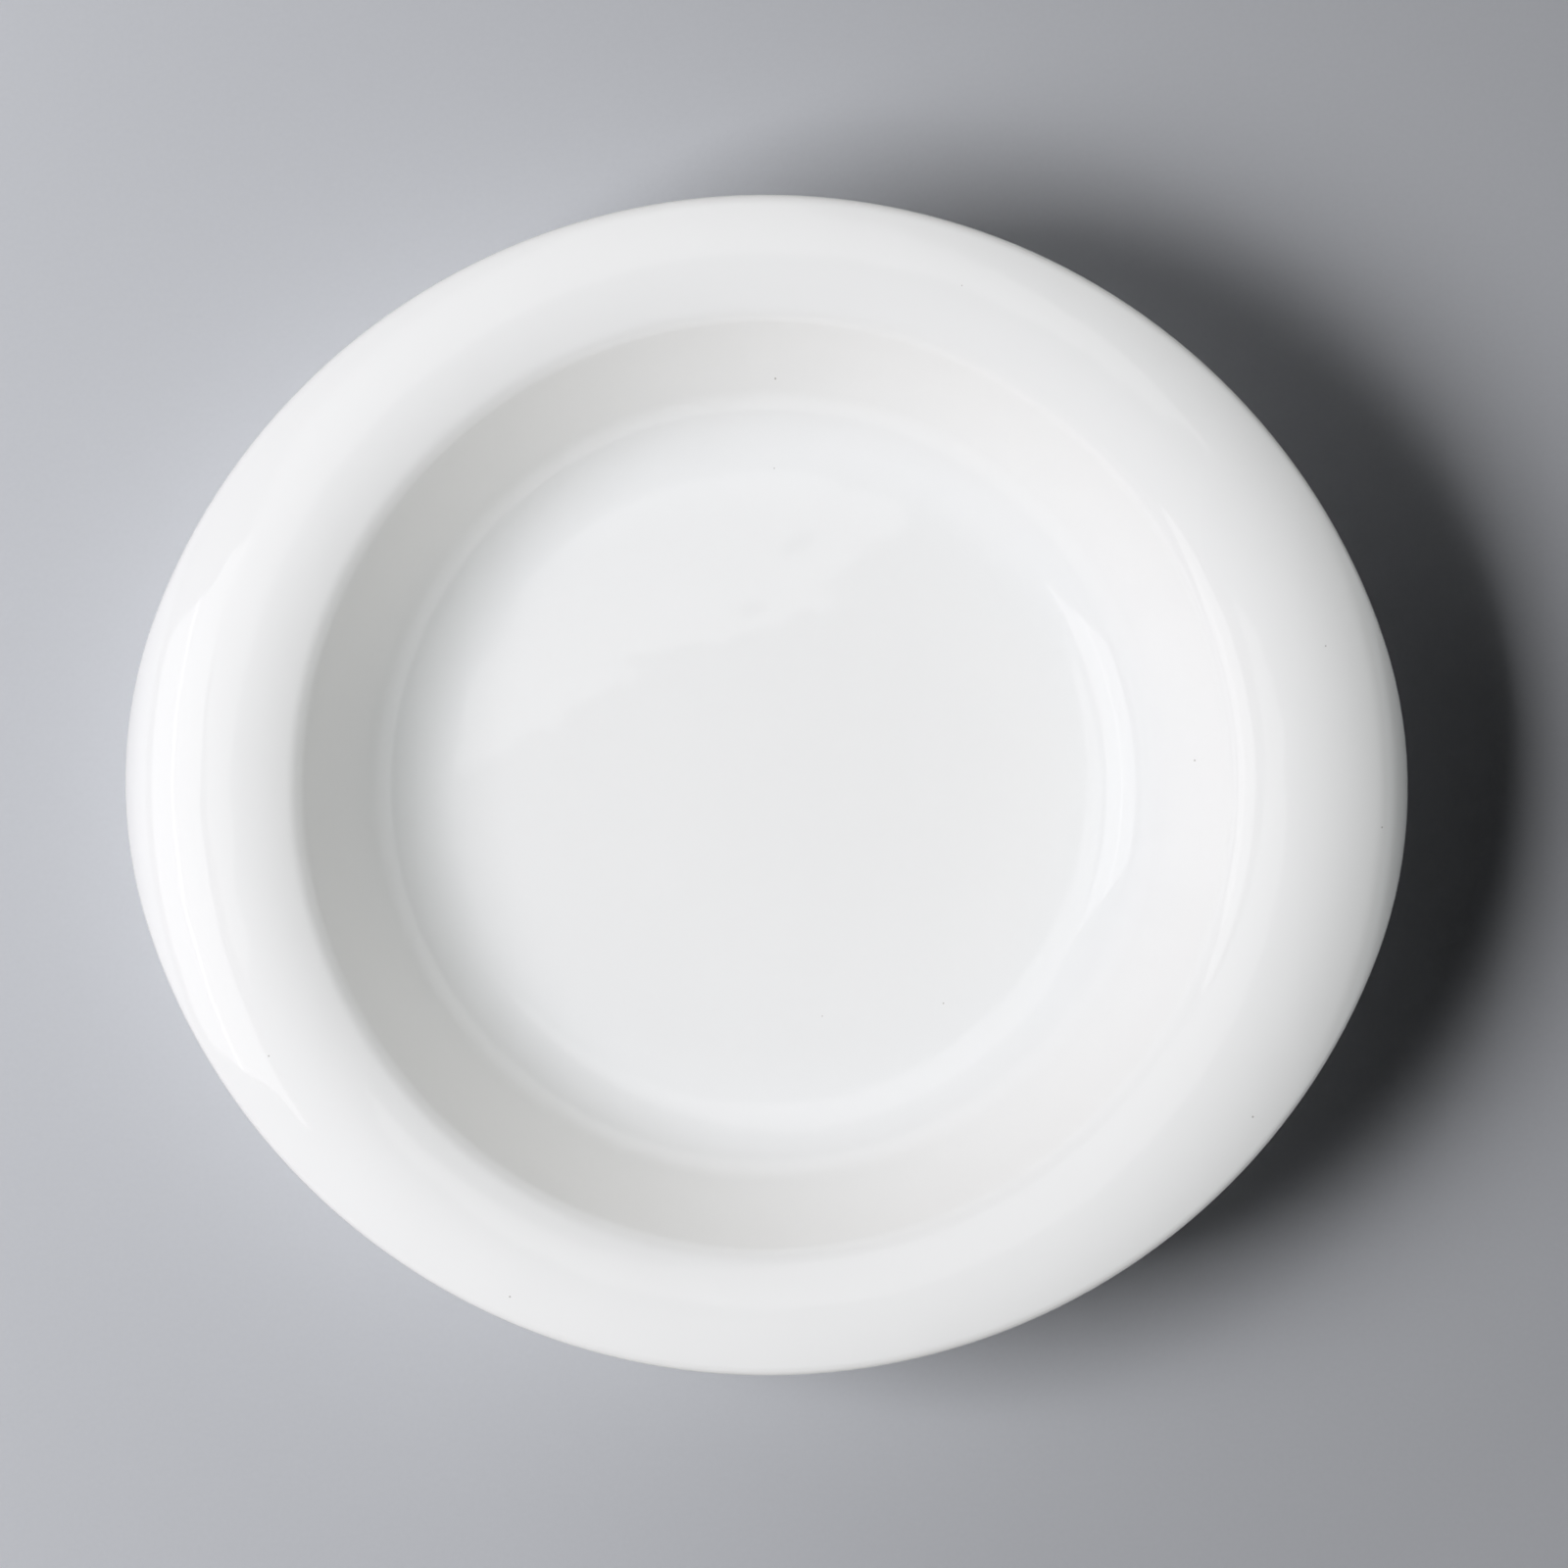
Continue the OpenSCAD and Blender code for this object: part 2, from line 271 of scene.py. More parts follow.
class PlateForm:
    """The plate's outline and section, worked out from its sizes."""

    def __init__(self, sizes):
        self.sizes = sizes
        self.floor_r = sizes.floor_d / 2
        self.foot_r = self.floor_r + sizes.foot_step
        self.floor_z = sizes.foot_h + sizes.wall_t
        self.crest_r = self.floor_r + sizes.wall_run + sizes.brow_w
        self.edge_r = sizes.wall_t / 2
        self.set_outline()
        self.set_rim()
        self.set_wall()
        self.set_foot()

    def set_outline(self):
        """The four arcs of the oval."""
        half_length, half_width = self.sizes.length / 2, self.sizes.width / 2
        less = self.sizes.end_arc_less
        self.reach = max(half_length, half_width)
        self.end_arc_r = half_width - less
        self.end_arc_x = half_length - self.end_arc_r
        self.side_arc_y = (self.end_arc_x**2 - less**2) / (2 * less)
        self.side_arc_r = half_width + self.side_arc_y
        span = math.hypot(self.end_arc_x, self.side_arc_y)
        rise, run = self.end_arc_r * self.side_arc_y, self.end_arc_x * (span + self.end_arc_r)
        self.arc_join = math.atan2(rise, run)

    def set_rim(self):
        """The brow inside the crest, the dome outside it and the lip that rolls down at the ends."""
        sizes = self.sizes
        lip_sine = math.sin(sizes.lip_tilt)
        self.brow_r = sizes.brow_w / math.sin(sizes.brow_tilt)
        self.dome_reach = self.reach - self.crest_r - self.edge_r - sizes.lip_w
        self.dome_mid_r = self.dome_reach / lip_sine
        self.dome_r = self.dome_mid_r + self.edge_r
        self.lip_mid_r = sizes.lip_w / (math.sin(sizes.end_tilt) - lip_sine)
        self.lip_r = self.lip_mid_r + self.edge_r
        self.brow_c = Vector((self.crest_r, sizes.height - self.brow_r))
        self.dome_c = Vector((self.crest_r, sizes.height - self.dome_r))
        self.lip_c = self.dome_c + (self.dome_mid_r - self.lip_mid_r) * facing(sizes.lip_tilt)

    def set_wall(self):
        """The straight wall that touches the hollow over the floor and the corner at the mouth."""
        sizes = self.sizes
        self.corner_r = sizes.wall_t + sizes.under_corner_r
        self.fillet_c = Vector((self.floor_r, self.floor_z + sizes.well_fillet_r))
        self.corner_c = self.brow_c + (self.brow_r - self.corner_r) * facing(-sizes.brow_tilt)
        span = self.corner_c - self.fillet_c
        turn = math.asin((sizes.well_fillet_r + self.corner_r) / span.length)
        self.wall_slope = math.atan2(span.y, span.x) + turn

    def set_foot(self):
        """The hollow that touches the foot ring's upright side and the underside of the well."""
        sizes = self.sizes
        self.outer_r = sizes.well_fillet_r + sizes.wall_t
        reach_r = self.outer_r + sizes.foot_fillet_r
        self.foot_lean = math.asin((sizes.foot_step + sizes.foot_fillet_r) / reach_r)
        self.foot_fillet_c = self.fillet_c + reach_r * facing(DOWN - self.foot_lean)

    def outline(self, turn):
        """Distance from the middle to the outline in one direction."""
        across, along = abs(math.cos(turn)), abs(math.sin(turn))
        if math.atan2(along, across) < self.arc_join:
            return self.end_arc_x * across + math.sqrt(self.end_arc_r**2 - (self.end_arc_x * along) ** 2)
        return math.sqrt(self.side_arc_r**2 - (self.side_arc_y * across) ** 2) - self.side_arc_y * along

    def edge_lean(self, turn):
        """Slope of the rim at its edge in one direction."""
        reach = self.outline(turn) - self.crest_r - self.edge_r
        if reach < self.dome_reach:
            return math.asin(reach / self.dome_mid_r)
        return math.asin(math.sin(self.sizes.lip_tilt) + (reach - self.dome_reach) / self.lip_mid_r)

    def on_rim(self, lean):
        """Centre and radius of the rim's surface where it has a given slope."""
        if lean < self.sizes.lip_tilt:
            return self.dome_c, self.dome_r
        return self.lip_c, self.lip_r

    def rim_top(self, lean, steps):
        """Stations over the rim, from the crest out to its edge."""
        leans = [lean * i / steps for i in range(steps + 1)]
        return [(*self.on_rim(slope), slope) for slope in leans]

    def rim_under(self, lean, steps):
        """Stations under the rim, from its edge back to under the crest."""
        thick = self.sizes.wall_t
        inwards = reversed(self.rim_top(lean, steps))
        return [(centre, thick - radius, slope + DOWN) for centre, radius, slope in inwards]

    def glazed_section(self, lean):
        """Stations from the middle of the floor over the rim to the glaze line on the foot."""
        sizes, slope, tilt = self.sizes, self.wall_slope, self.sizes.brow_tilt
        edge_c = spot((*self.on_rim(lean), lean), self.edge_r)
        arcs = [
            arc(self.fillet_c, -sizes.well_fillet_r, UP, -slope, HOLLOW_STEPS),
            arc(self.corner_c, self.corner_r, -slope, -tilt, CORNER_STEPS),
            arc(self.brow_c, self.brow_r, -tilt, UP, BROW_STEPS),
            self.rim_top(lean, RIM_STEPS),
            arc(edge_c, self.edge_r, lean, lean + math.pi, EDGE_STEPS),
            self.rim_under(lean, UNDER_STEPS),
            arc(self.brow_c, sizes.wall_t - self.brow_r, DOWN, DOWN - tilt, SMALL_STEPS),
            arc(self.corner_c, -sizes.under_corner_r, DOWN - tilt, DOWN - slope, SMALL_STEPS),
            arc(self.fillet_c, self.outer_r, DOWN - slope, DOWN - self.foot_lean, UNDER_STEPS),
            arc(self.foot_fillet_c, -sizes.foot_fillet_r, DOWN - self.foot_lean, OUTWARDS, SMALL_STEPS),
            [(Vector((self.foot_r, sizes.glaze_line)), 0.0, OUTWARDS)],
        ]
        floor_edge = (Vector((self.floor_r, self.floor_z)), 0.0, UP)
        middle = (Vector((0.0, self.floor_z)), 0.0, UP)
        return joined([straight(middle, floor_edge, FLAT_STEPS)[1:-1]] + arcs)

    def recess_section(self):
        """Stations of the glazed recess, from the glaze line up and in to the middle."""
        sizes = self.sizes
        bend_c = Vector((sizes.recess_r - sizes.foot_fillet_r, sizes.foot_h - sizes.foot_fillet_r))
        line = (Vector((sizes.recess_r, sizes.glaze_line)), 0.0, INWARDS)
        ceiling = (Vector((bend_c.x, sizes.foot_h)), 0.0, DOWN)
        middle = (Vector((0.0, sizes.foot_h)), 0.0, DOWN)
        bend = arc(bend_c, -sizes.foot_fillet_r, INWARDS, DOWN, SMALL_STEPS)
        return joined([[line], bend, straight(ceiling, middle, FLAT_STEPS)[1:-1]])

    def bare_section(self):
        """Stations round the bare foot ring, from its outer side to its inner side, in the clay."""
        sizes = self.sizes
        bend_r, skin = sizes.foot_round_r, sizes.glaze_t
        outer_c = Vector((self.foot_r - skin - bend_r, bend_r))
        inner_c = Vector((sizes.recess_r + skin + bend_r, bend_r))
        outer = arc(outer_c, bend_r + skin, OUTWARDS, DOWN, FOOT_STEPS)
        inner = arc(inner_c, bend_r + skin, DOWN, INWARDS, FOOT_STEPS)
        return outer + inner


def rings(form, section_at, depth):
    """Rings of points round the plate, one ring for each station of its section."""
    ribs = form.sizes.ribs
    turns = [2 * math.pi * i / ribs for i in range(ribs)]
    sections = [section_at(form.edge_lean(turn)) for turn in turns]
    loops = []
    for k in range(len(sections[0])):
        points = [spot(section[k], depth) for section in sections]
        loops.append([(p.x * math.cos(a), p.x * math.sin(a), p.y) for p, a in zip(points, turns)])
    return loops


def closed_skin(name, start_z, loops, end_z):
    """A closed mesh piece over rings of points, which starts and ends on the axis."""
    count = len(loops[0])
    points = [(0.0, 0.0, start_z)] + [p for loop in loops for p in loop] + [(0.0, 0.0, end_z)]
    end = len(points) - 1
    last = (len(loops) - 1) * count + 1
    faces = [(0, 1 + i, 1 + (i + 1) % count) for i in range(count)]
    for k in range(len(loops) - 1):
        here, there = 1 + k * count, 1 + (k + 1) * count
        for i in range(count):
            j = (i + 1) % count
            faces.append((here + i, there + i, there + j, here + j))
    faces += [(last + (i + 1) % count, last + i, end) for i in range(count)]
    mesh = bpy.data.meshes.new(name)
    mesh.from_pydata(points, [], faces)
    work = bmesh.new()
    work.from_mesh(mesh)
    bmesh.ops.recalc_face_normals(work, faces=work.faces)
    work.to_mesh(mesh)
    work.free()
    mesh.shade_smooth()
    mesh.set_sharp_from_angle(angle=SHARP_ANGLE)
    piece = bpy.data.objects.new(name, mesh)
    bpy.context.scene.collection.objects.link(piece)
    return piece


def seated(piece, node, material):
    """Gives a piece its material and its place in the frame."""
    piece.data.materials.append(material)
    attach(piece, "root")
    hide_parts(node)
    lit_pieces().objects.link(piece)


def lit_pieces():
    """The collection of the plate's pieces, which the key light and the fills are for."""
    return bpy.data.collections.get("plate_pieces") or bpy.data.collections.new("plate_pieces")


def staged():
    """The collection of the floor, which has lights of its own."""
    return bpy.data.collections.get("plate_stage") or bpy.data.collections.new("plate_stage")


class Nodes:
    """Short calls that add and join the nodes of one tree."""

    def __init__(self, tree):
        self.tree = tree
        self.column = 0

    def add(self, kind, settings=None, **sockets):
        """Adds a node, sets its options, and fills or joins its named input sockets."""
        made = self.tree.nodes.new(kind)
        made.location = (self.column, 0)
        self.column += NODE_SPACING
        for key, value in (settings or {}).items():
            setattr(made, key, value)
        for key, value in sockets.items():
            self.fill(made.inputs[key.replace("_", " ")], value)
        return made

    def fill(self, socket, value):
        """Joins an output to a socket, or sets the socket's own value."""
        if isinstance(value, bpy.types.NodeSocket):
            self.tree.links.new(value, socket)
        else:
            socket.default_value = value

    def math(self, operation, first, second=0.0, third=0.0):
        """The result of one sum on values."""
        made = self.add("ShaderNodeMath", {"operation": operation})
        for socket, value in zip(made.inputs, (first, second, third)):
            self.fill(socket, value)
        return made.outputs[0]

    def ramp(self, value, low, high, to_low=0.0, to_high=1.0):
        """A smooth change from one value to another while a value runs from low to high."""
        made = self.add("ShaderNodeMapRange", {"interpolation_type": "SMOOTHSTEP"}, Value=value)
        for key, number in (("From Min", low), ("From Max", high), ("To Min", to_low), ("To Max", to_high)):
            self.fill(made.inputs[key], number)
        return made.outputs["Result"]

    def mix(self, share, first, second):
        """A colour between two colours."""
        made = self.add("ShaderNodeMix", {"data_type": "RGBA"})
        self.fill(made.inputs[MIX_SHARE], share)
        self.fill(made.inputs[MIX_FIRST], first)
        self.fill(made.inputs[MIX_SECOND], second)
        return made.outputs[MIX_RESULT]


def rgba(colour):
    """A colour with full alpha."""
    return (*colour, 1.0)


def new_material(name):
    """An empty node material and its Principled shader."""
    material = bpy.data.materials.new(name)
    material.use_nodes = True
    material.node_tree.nodes.clear()
    nodes = Nodes(material.node_tree)
    shader = nodes.add("ShaderNodeBsdfPrincipled")
    output = nodes.add("ShaderNodeOutputMaterial")
    material.node_tree.links.new(shader.outputs["BSDF"], output.inputs["Surface"])
    return material, nodes, shader


def glaze_surface_group():
    """The look of fired glaze: slow waves, fine ripples, pooled tint in a hollow and a few kiln specks."""
    name = "Glaze_Surface"
    if name in bpy.data.node_groups:
        return bpy.data.node_groups[name]
    group = bpy.data.node_groups.new(name, "ShaderNodeTree")
    face = group.interface
    for label in ("Glaze Colour", "Pool Colour", "Speck Colour"):
        face.new_socket(label, in_out="INPUT", socket_type="NodeSocketColor")
    for label in ("Pool Radius", "Pool Width", "Wave Height", "Ripple Height", "Speck Share"):
        face.new_socket(label, in_out="INPUT", socket_type="NodeSocketFloat")
    face.new_socket("Colour", in_out="OUTPUT", socket_type="NodeSocketColor")
    for label in ("Roughness", "Height"):
        face.new_socket(label, in_out="OUTPUT", socket_type="NodeSocketFloat")
    nodes = Nodes(group)
    given = nodes.add("NodeGroupInput").outputs
    place = nodes.add("ShaderNodeTexCoord").outputs["Object"]

    waves = nodes.add("ShaderNodeTexNoise", Vector=place, Scale=42.0, Detail=1.5, Roughness=0.45)
    ripples = nodes.add("ShaderNodeTexNoise", Vector=place, Scale=210.0, Detail=1.0, Roughness=0.4)
    clouds = nodes.add("ShaderNodeTexNoise", Vector=place, Scale=18.0, Detail=3.0, Roughness=0.55)
    height = nodes.math(
        "MULTIPLY_ADD",
        waves.outputs[0],
        given["Wave Height"],
        nodes.math("MULTIPLY", ripples.outputs[0], given["Ripple Height"]),
    )

    flat = nodes.add("ShaderNodeVectorMath", {"operation": "MULTIPLY"})
    nodes.fill(flat.inputs[0], place)
    flat.inputs[1].default_value = NO_HEIGHT
    radius = nodes.add("ShaderNodeVectorMath", {"operation": "LENGTH"})
    nodes.fill(radius.inputs[0], flat.outputs[0])
    off_pool = nodes.math("ABSOLUTE", nodes.math("SUBTRACT", radius.outputs["Value"], given["Pool Radius"]))
    pooled = nodes.ramp(off_pool, low=0.0, high=given["Pool Width"], to_low=1.0, to_high=0.0)
    patchy = nodes.ramp(clouds.outputs[0], low=0.2, high=0.7, to_low=POOL_LEAST)
    pooled = nodes.math("MULTIPLY", pooled, patchy)

    cells = nodes.add("ShaderNodeTexVoronoi", {"voronoi_dimensions": "2D"}, Vector=place, Scale=75.0)
    chosen = nodes.add("ShaderNodeSeparateColor", Color=cells.outputs["Color"])
    rare = nodes.math("LESS_THAN", chosen.outputs[0], given["Speck Share"])
    dot_r = nodes.ramp(chosen.outputs[1], low=0.0, high=1.0, to_low=SPECK_SMALL, to_high=SPECK_LARGE)
    from_middle = nodes.math("DIVIDE", cells.outputs["Distance"], dot_r)
    dot = nodes.ramp(from_middle, low=SPECK_CORE, high=1.0, to_low=1.0, to_high=0.0)
    specks = nodes.math("MULTIPLY", rare, dot)

    colour = nodes.mix(pooled, given["Glaze Colour"], given["Pool Colour"])
    colour = nodes.mix(specks, colour, given["Speck Colour"])
    output = nodes.add("NodeGroupOutput").inputs
    nodes.fill(output["Colour"], colour)
    nodes.fill(
        output["Roughness"],
        nodes.ramp(clouds.outputs[0], low=0.3, high=0.7, to_low=GLAZE_SMOOTHEST, to_high=GLAZE_ROUGHEST),
    )
    nodes.fill(output["Height"], height)
    return group


def glaze_material(name, finish, pool_r, pool_w, speck_share):
    """Glossy white glaze, with its hollow at a radius where the glaze pools."""
    material, nodes, shader = new_material(name)
    surface = nodes.add("ShaderNodeGroup", {"node_tree": glaze_surface_group()})
    values = {
        "Glaze Colour": rgba(finish.glaze_colour),
        "Pool Colour": rgba(finish.pool_colour),
        "Speck Colour": rgba(finish.speck_colour),
        "Pool Radius": pool_r,
        "Pool Width": pool_w,
        "Wave Height": finish.wave_height,
        "Ripple Height": finish.ripple_height,
        "Speck Share": speck_share,
    }
    for key, value in values.items():
        surface.inputs[key].default_value = value
    bump = nodes.add("ShaderNodeBump", Strength=1.0, Distance=1.0, Height=surface.outputs["Height"])
    nodes.fill(shader.inputs["Base Color"], surface.outputs["Colour"])
    nodes.fill(shader.inputs["Roughness"], surface.outputs["Roughness"])
    nodes.fill(shader.inputs["Normal"], bump.outputs["Normal"])
    shader.inputs["IOR"].default_value = GLAZE_IOR
    return material


def clay_material(finish):
    """Bare fired clay: matt, with a fine sandy grain."""
    material, nodes, shader = new_material("Bare_Fired_Clay")
    place = nodes.add("ShaderNodeTexCoord").outputs["Object"]
    grain = nodes.add("ShaderNodeTexNoise", Vector=place, Scale=2600.0, Detail=2.0, Roughness=0.6)
    stain = nodes.add("ShaderNodeTexNoise", Vector=place, Scale=60.0, Detail=4.0, Roughness=0.6)
    pale = rgba(finish.clay_colour)
    toasted = rgba([c * s for c, s in zip(finish.clay_colour, CLAY_TOAST)])
    colour = nodes.mix(nodes.ramp(stain.outputs[0], low=0.35, high=0.75), pale, toasted)
    sandy = nodes.ramp(grain.outputs[0], low=0.62, high=0.75, to_high=SAND_SHARE)
    speckled = nodes.mix(sandy, colour, rgba(finish.speck_colour))
    bump = nodes.add("ShaderNodeBump", Strength=1.0, Distance=SAND_HEIGHT, Height=grain.outputs[0])
    matt = nodes.ramp(grain.outputs[0], low=0.3, high=0.7, to_low=CLAY_SMOOTHEST, to_high=CLAY_ROUGHEST)
    nodes.fill(shader.inputs["Base Color"], speckled)
    nodes.fill(shader.inputs["Roughness"], matt)
    nodes.fill(shader.inputs["Normal"], bump.outputs["Normal"])
    return material


def background_rays(nodes):
    """A value of one for the rays that show the background: seen, mirrored or let through."""
    path = nodes.add("ShaderNodeLightPath").outputs
    mirrored = nodes.math("MAXIMUM", path["Is Glossy Ray"], path["Is Transmission Ray"])
    return nodes.math("MAXIMUM", path["Is Camera Ray"], mirrored)


def floor_material(studio):
    """Plain pale paper floor with a faint tooth, which fades into the backdrop far from the plate."""
    material, nodes, shader = new_material("Pale_Paper_Floor")
    colour = studio.floor_colour
    place = nodes.add("ShaderNodeTexCoord").outputs["Object"]
    tooth = nodes.add("ShaderNodeTexNoise", Vector=place, Scale=900.0, Detail=2.0, Roughness=0.6)
    darker = rgba([c * FLOOR_TOOTH for c in colour])
    nodes.fill(shader.inputs["Base Color"], nodes.mix(tooth.outputs[0], rgba(colour), darker))
    shader.inputs["Roughness"].default_value = FLOOR_ROUGHNESS
    shader.inputs["Specular IOR Level"].default_value = FLOOR_GLOSS

    radius = nodes.add("ShaderNodeVectorMath", {"operation": "LENGTH"})
    nodes.fill(radius.inputs[0], place)
    far = nodes.ramp(radius.outputs["Value"], studio.fade_start, studio.fade_end)
    backdrop = nodes.add("ShaderNodeEmission", Strength=studio.backdrop_level)
    backdrop.inputs["Color"].default_value = rgba(studio.backdrop_colour)
    faded = nodes.add("ShaderNodeMixShader", Fac=nodes.math("MULTIPLY", far, background_rays(nodes)))
    surface = shader.outputs["BSDF"].links[0].to_socket
    nodes.fill(faded.inputs[1], shader.outputs["BSDF"])
    nodes.fill(faded.inputs[2], backdrop.outputs["Emission"])
    nodes.fill(surface, faded.outputs["Shader"])
    material.cycles.emission_sampling = "NONE"
    return material


class PLATE_OT_porcelain_body(bpy.types.Operator):
    """Make the fired clay body with its bare foot ring"""

    bl_idname = "plate.porcelain_body"
    bl_label = "Porcelain Body"

    def execute(self, context):
        sizes = context.scene.plate_sizes
        form = PlateForm(sizes)
        skin = sizes.glaze_t
        loops = rings(form, form.glazed_section, skin)
        loops += rings(form, lambda lean: joined([form.bare_section(), form.recess_section()]), skin)
        piece = closed_skin("porcelain_body", form.floor_z - skin, loops, sizes.foot_h + skin)
        seated(piece, "porcelain_body", clay_material(context.scene.plate_finish))
        return {"FINISHED"}


class PLATE_OT_face_glaze(bpy.types.Operator):
    """Make the glaze over the eating face, the rim and the underside"""

    bl_idname = "plate.face_glaze"
    bl_label = "Face Glaze"

    def execute(self, context):
        sizes, finish = context.scene.plate_sizes, context.scene.plate_finish
        form = PlateForm(sizes)
        outside = rings(form, form.glazed_section, 0.0)
        inside = rings(form, form.glazed_section, sizes.glaze_t)
        loops = outside + inside[::-1]
        piece = closed_skin("face_glaze", form.floor_z, loops, form.floor_z - sizes.glaze_t)
        pool_r = form.floor_r + sizes.well_fillet_r / 2
        pool_w, specks = finish.face_pool_w, finish.face_specks
        material = glaze_material("White_Face_Glaze", finish, pool_r, pool_w, specks)
        seated(piece, "face_glaze", material)
        return {"FINISHED"}


class PLATE_OT_base_glaze(bpy.types.Operator):
    """Make the glaze in the recess under the plate"""

    bl_idname = "plate.base_glaze"
    bl_label = "Base Glaze"

    def execute(self, context):
        sizes, finish = context.scene.plate_sizes, context.scene.plate_finish
        form = PlateForm(sizes)
        clay_side = rings(form, lambda lean: form.recess_section(), sizes.glaze_t)
        open_side = rings(form, lambda lean: form.recess_section(), 0.0)
        loops = clay_side[::-1] + open_side
        piece = closed_skin("base_glaze", sizes.foot_h + sizes.glaze_t, loops, sizes.foot_h)
        pool_w, specks = finish.base_pool_w, finish.base_specks
        material = glaze_material("White_Base_Glaze", finish, sizes.recess_r, pool_w, specks)
        seated(piece, "base_glaze", material)
        return {"FINISHED"}


def panel_light(name, place, aim, width, height, radiance, colour):
    """A rectangular soft light of even brightness that faces a point."""
    data = bpy.data.lights.new(name, "AREA")
    data.color = colour
    data.shape = "RECTANGLE"
    data.size, data.size_y = width, height
    data.energy = radiance * math.pi * width * height
    lamp = bpy.data.objects.new(name, data)
    lamp.location = place
    lamp.rotation_mode = "QUATERNION"
    lamp.rotation_quaternion = (aim - place).to_track_quat("-Z", "Y")
    lamp.visible_camera = False
    bpy.context.scene.collection.objects.link(lamp)
    return lamp


def make_room(studio):
    """A dim room with a low pale backdrop all round, which is seen and mirrored but gives no light."""
    world = bpy.data.worlds.new("Studio_Room")
    world.use_nodes = True
    world.node_tree.nodes.clear()
    nodes = Nodes(world.node_tree)
    way = nodes.add("ShaderNodeTexCoord").outputs["Generated"]
    rise = nodes.add("ShaderNodeSeparateXYZ", Vector=way).outputs["Z"]
    fade_from, fade_to = math.sin(studio.backdrop_low), math.sin(studio.backdrop_high)
    low_down = nodes.ramp(rise, low=fade_from, high=fade_to, to_low=1.0, to_high=0.0)
    backdrop = nodes.math("MULTIPLY", low_down, background_rays(nodes))
    level = nodes.ramp(
        backdrop, low=0.0, high=1.0, to_low=studio.room_level, to_high=studio.backdrop_level
    )
    room = nodes.add("ShaderNodeBackground", Strength=level)
    room.inputs["Color"].default_value = rgba(studio.backdrop_colour)
    output = nodes.add("ShaderNodeOutputWorld")
    world.node_tree.links.new(room.outputs["Background"], output.inputs["Surface"])
    bpy.context.scene.world = world


def make_floor(studio):
    """The pale floor that the foot ring stands on."""
    half = studio.floor_size / 2
    mesh = bpy.data.meshes.new("studio_floor")
    corners = [(-half, -half, 0.0), (half, -half, 0.0), (half, half, 0.0), (-half, half, 0.0)]
    mesh.from_pydata(corners, [], [(0, 1, 2, 3)])
    mesh.materials.append(floor_material(studio))
    floor = bpy.data.objects.new("studio_floor", mesh)
    bpy.context.scene.collection.objects.link(floor)
    staged().objects.link(floor)


def towards(tilt, turn):
    """Unit vector at an angle from straight above and a direction round the plate."""
    side = facing(tilt)
    return Vector((side.x * math.cos(turn), side.x * math.sin(turn), side.y))


def on_plate(lamp):
    """Keeps a light to the plate's pieces, and out of its reflections."""
    lamp.visible_glossy = False
    lamp.light_linking.receiver_collection = lit_pieces()


def on_floor(lamp):
    """Keeps a light to the floor, and out of the plate's reflections."""
    lamp.visible_glossy = False
    lamp.light_linking.receiver_collection = staged()


def make_key(studio, middle):
    """The key light and the fills, which light the plate but do not show in its glaze."""
    size, across, colour = studio.key_size, studio.fill_size, studio.fill_colour
    place = middle + studio.key_distance * towards(studio.key_tilt, studio.key_turn)
    on_plate(panel_light("key_light", place, middle, size, size, studio.key_radiance, studio.key_colour))
    place = middle + Vector((0.0, 0.0, studio.fill_height))
    on_plate(panel_light("fill_light", place, middle, across, across, studio.fill_radiance, colour))
    for name, turn in (("side_fill_back", studio.side_turn), ("side_fill_front", -studio.side_turn)):
        place = middle + studio.key_distance * towards(studio.side_tilt, turn)
        on_plate(panel_light(name, place, middle, size, size, studio.side_radiance, studio.side_colour))


def make_softbox(studio, middle):
    """The softbox that the glaze mirrors, with a brighter line across it."""
    aim = towards(studio.box_tilt, studio.box_turn)
    place = middle + studio.box_distance * aim
    wide, high, colour = studio.box_width, studio.box_height, studio.box_colour
    panel_light("softbox", place, middle, wide, high, studio.box_radiance, colour)
    in_front = place - LINE_GAP * aim
    thin = studio.line_height
    line = panel_light("softbox_line", in_front, middle, wide, thin, studio.line_radiance, colour)
    line.visible_diffuse = False


def make_floor_lights(studio, middle):
    """The two lights of the floor, which throw the plate's shadow and fade across the floor."""
    place = middle + studio.floor_distance * towards(studio.floor_tilt, studio.floor_turn)
    side, level = studio.floor_panel, studio.floor_radiance
    on_floor(panel_light("floor_light", place, middle, side, side, level, studio.floor_tint))
    place = middle + studio.low_distance * towards(studio.low_tilt, studio.low_turn)
    side, level = studio.low_panel, studio.low_radiance
    on_floor(panel_light("floor_low_light", place, middle, side, side, level, studio.floor_tint))


def make_ceiling(studio):
    """The ceiling panel, which only shows in the glaze."""
    across, turn = studio.ceiling_size, studio.ceiling_turn
    reach = studio.ceiling_gap + across / 2
    place = Vector((math.cos(turn) * reach, math.sin(turn) * reach, studio.ceiling_height))
    below = Vector((place.x, place.y, 0.0))
    level, colour = studio.ceiling_radiance, studio.box_colour
    ceiling = panel_light("ceiling_panel", place, below, across, across, level, colour)
    ceiling.rotation_mode = "XYZ"
    ceiling.rotation_euler = (0.0, 0.0, turn)
    ceiling.visible_diffuse = False


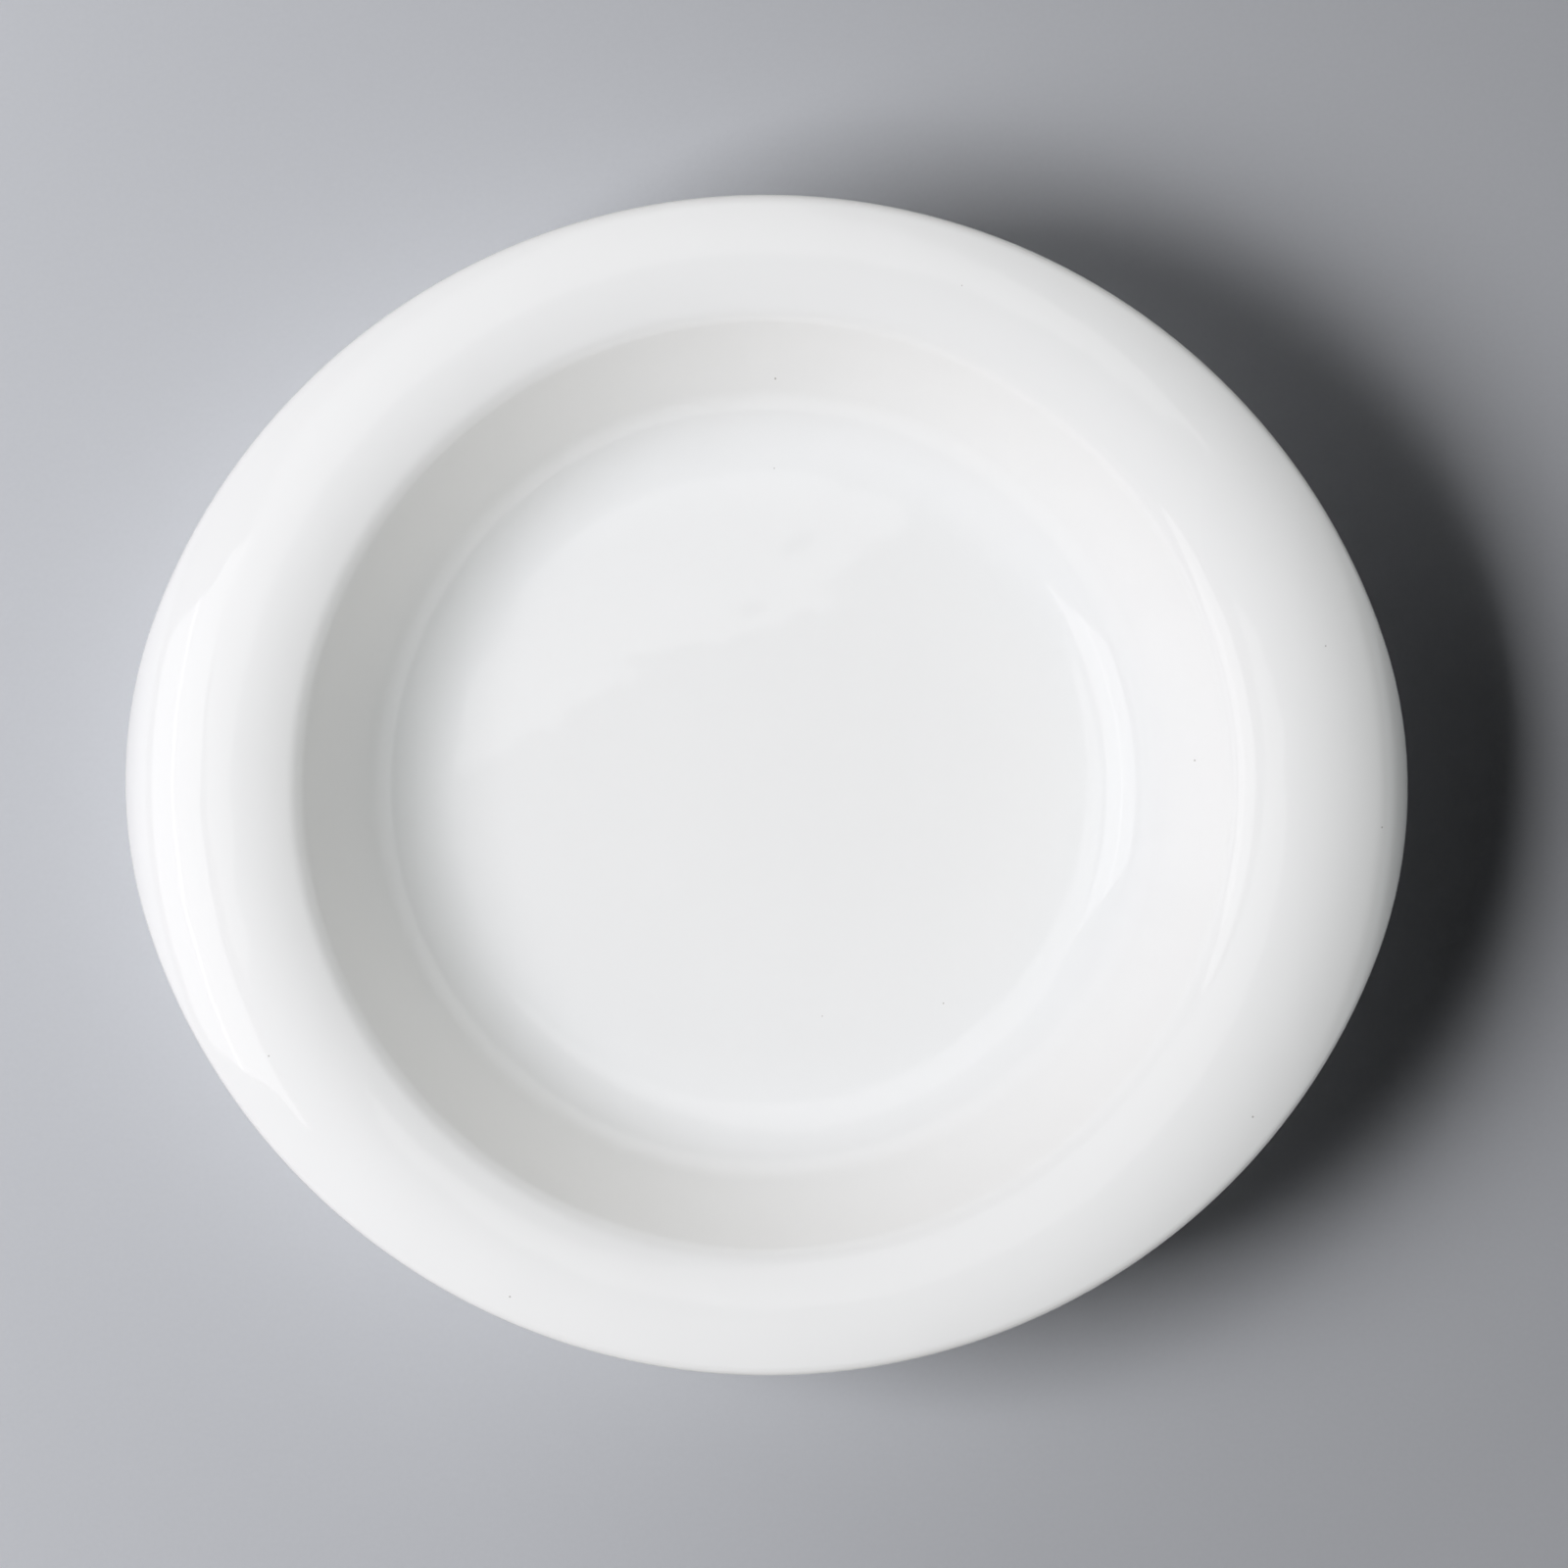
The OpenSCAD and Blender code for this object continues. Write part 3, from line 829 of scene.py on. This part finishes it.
def make_camera(studio, crest_z):
    """The camera straight above the plate."""
    data = bpy.data.cameras.new("camera_above")
    data.sensor_width = SENSOR_WIDTH
    data.lens = data.sensor_width * studio.camera_distance / studio.frame_width
    camera = bpy.data.objects.new("camera_above", data)
    camera.location = (studio.camera_x, studio.camera_y, crest_z + studio.camera_distance)
    camera.rotation_euler = (0.0, 0.0, studio.camera_roll)
    bpy.context.scene.collection.objects.link(camera)
    bpy.context.scene.camera = camera


class PLATE_OT_studio(bpy.types.Operator):
    """Make the floor, the room, the lights and the camera"""

    bl_idname = "plate.studio"
    bl_label = "Studio"

    def execute(self, context):
        studio = context.scene.plate_studio
        crest_z = context.scene.plate_sizes.height
        make_room(studio)
        make_floor(studio)
        middle = Vector((0.0, 0.0, crest_z))
        make_key(studio, middle)
        make_softbox(studio, middle)
        make_floor_lights(studio, middle)
        make_ceiling(studio)
        make_camera(studio, crest_z)
        context.scene.view_settings.view_transform = "Standard"
        return {"FINISHED"}


class PLATE_PT_sidebar(bpy.types.Panel):
    """The plate's operators and sizes"""

    bl_idname = "PLATE_PT_sidebar"
    bl_label = "Oval Deep Plate"
    bl_space_type = "VIEW_3D"
    bl_region_type = "UI"
    bl_category = "Plate"

    def draw(self, context):
        for operator in OPERATORS:
            self.layout.operator(operator.bl_idname)
        for group in (context.scene.plate_sizes, context.scene.plate_finish, context.scene.plate_studio):
            box = self.layout.box()
            for key in group.bl_rna.properties.keys():
                if key not in ("rna_type", "name"):
                    box.prop(group, key)


GROUPS = {"plate_sizes": PlateSizes, "plate_finish": PlateFinish, "plate_studio": PlateStudio}
OPERATORS = (PLATE_OT_porcelain_body, PLATE_OT_face_glaze, PLATE_OT_base_glaze, PLATE_OT_studio)


def register():
    """Registers the classes and gives the scene its groups of values."""
    for cls in (*GROUPS.values(), *OPERATORS, PLATE_PT_sidebar):
        bpy.utils.register_class(cls)
    for key, cls in GROUPS.items():
        setattr(bpy.types.Scene, key, PointerProperty(type=cls))


def unregister():
    """Takes back what register added."""
    for key in GROUPS:
        delattr(bpy.types.Scene, key)
    for cls in (PLATE_PT_sidebar, *reversed(OPERATORS), *reversed(GROUPS.values())):
        bpy.utils.unregister_class(cls)


def main():
    """Makes the plate and its studio."""
    register()
    bpy.ops.plate.porcelain_body()
    bpy.ops.plate.face_glaze()
    bpy.ops.plate.base_glaze()
    bpy.ops.plate.studio()


if __name__ == "__main__":
    main()
